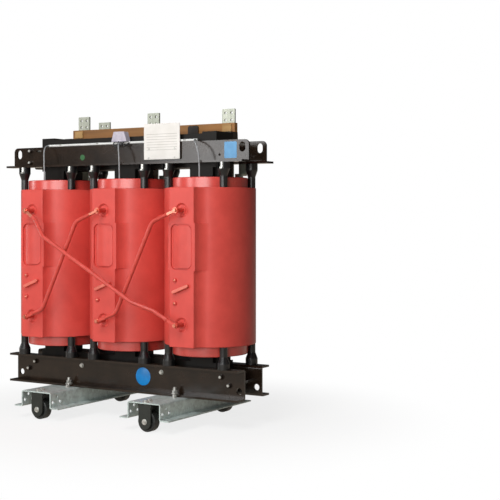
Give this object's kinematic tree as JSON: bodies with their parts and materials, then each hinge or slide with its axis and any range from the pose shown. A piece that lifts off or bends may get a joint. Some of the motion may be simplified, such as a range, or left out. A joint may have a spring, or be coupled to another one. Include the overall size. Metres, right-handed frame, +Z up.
{
  "type": "dry-type electrical transformer",
  "caption": "Open cast-resin transformer: upright red windings in a row on a laminated core, held by dark steel clamps, with delta rods in front, flat bars behind and skids on rollers.",
  "frame": {"origin": "on the floor, under the middle of the core", "axes": "+X along the core to the right as seen from the high-voltage side, -Y towards the high-voltage side, +Z up"},
  "size_m": [1.484, 0.736, 1.562],
  "materials": {
    "beam_wood": "varnished",
    "block_resin": "matte",
    "bracket_paint": "satin",
    "cast_resin": "satin",
    "clamp_paint": "satin",
    "conduit": "satin",
    "copper": "bare",
    "core_steel": "satin",
    "foot_resin": "matte",
    "galvanised": "galvanised",
    "inner_resin": "gloss",
    "lead": "satin",
    "plate": "satin",
    "plated_steel": "plated",
    "rod_sleeve": "satin",
    "roller_iron": "bare",
    "sensor_box": "translucent white",
    "tinned_bar": "satin"
  },
  "bodies": {
    "frame": {"beam_feet": "foot_resin", "clamp_ties": "plated_steel", "core_limb_left": "core_steel", "core_limb_middle": "core_steel", "core_limb_right": "core_steel", "core_yoke_lower": "core_steel", "core_yoke_upper": "core_steel", "delta_rod_left": "rod_sleeve", "delta_rod_long": "rod_sleeve", "delta_rod_right": "rod_sleeve", "hv_winding_left": "cast_resin", "hv_winding_middle": "cast_resin", "hv_winding_right": "cast_resin", "jack_screws": "plated_steel", "lower_clamp_back": "clamp_paint", "lower_clamp_front": "clamp_paint", "lv_bar_left": "tinned_bar", "lv_bar_middle": "tinned_bar", "lv_bar_right": "tinned_bar", "lv_neutral_bar": "tinned_bar", "lv_support_beam": "beam_wood", "lv_winding_left": "inner_resin", "lv_winding_middle": "inner_resin", "lv_winding_right": "inner_resin", "neutral_links": "tinned_bar", "neutral_standoff": "foot_resin", "rating_plate": "plate", "rod_lugs": "copper", "roller_axles": "plated_steel", "roller_brackets": "bracket_paint", "sensor_box": "sensor_box", "sensor_conduit": "conduit", "sensor_leads": "lead", "skid_left": "galvanised", "skid_right": "galvanised", "tap_links": "rod_sleeve", "terminal_studs": "rod_sleeve", "upper_clamp_back": "clamp_paint", "upper_clamp_front": "clamp_paint", "winding_posts": "block_resin", "yoke_straps": "core_steel"},
    "roller_front_left": {"roller_front_left": "roller_iron"},
    "roller_front_right": {"roller_front_right": "roller_iron"},
    "roller_back_left": {"roller_back_left": "roller_iron"},
    "roller_back_right": {"roller_back_right": "roller_iron"}
  },
  "joints": [
    {"name": "roller_front_left_turn", "type": "hinge", "parent": "frame", "child": "roller_front_left", "pos_m": [-0.335, -0.326, 0.05], "axis": [0, 1, 0], "continuous": true},
    {"name": "roller_front_right_turn", "type": "hinge", "parent": "frame", "child": "roller_front_right", "pos_m": [0.335, -0.326, 0.05], "axis": [0, 1, 0], "continuous": true},
    {"name": "roller_back_left_turn", "type": "hinge", "parent": "frame", "child": "roller_back_left", "pos_m": [-0.335, 0.326, 0.05], "axis": [0, 1, 0], "continuous": true},
    {"name": "roller_back_right_turn", "type": "hinge", "parent": "frame", "child": "roller_back_right", "pos_m": [0.335, 0.326, 0.05], "axis": [0, 1, 0], "continuous": true}
  ]
}
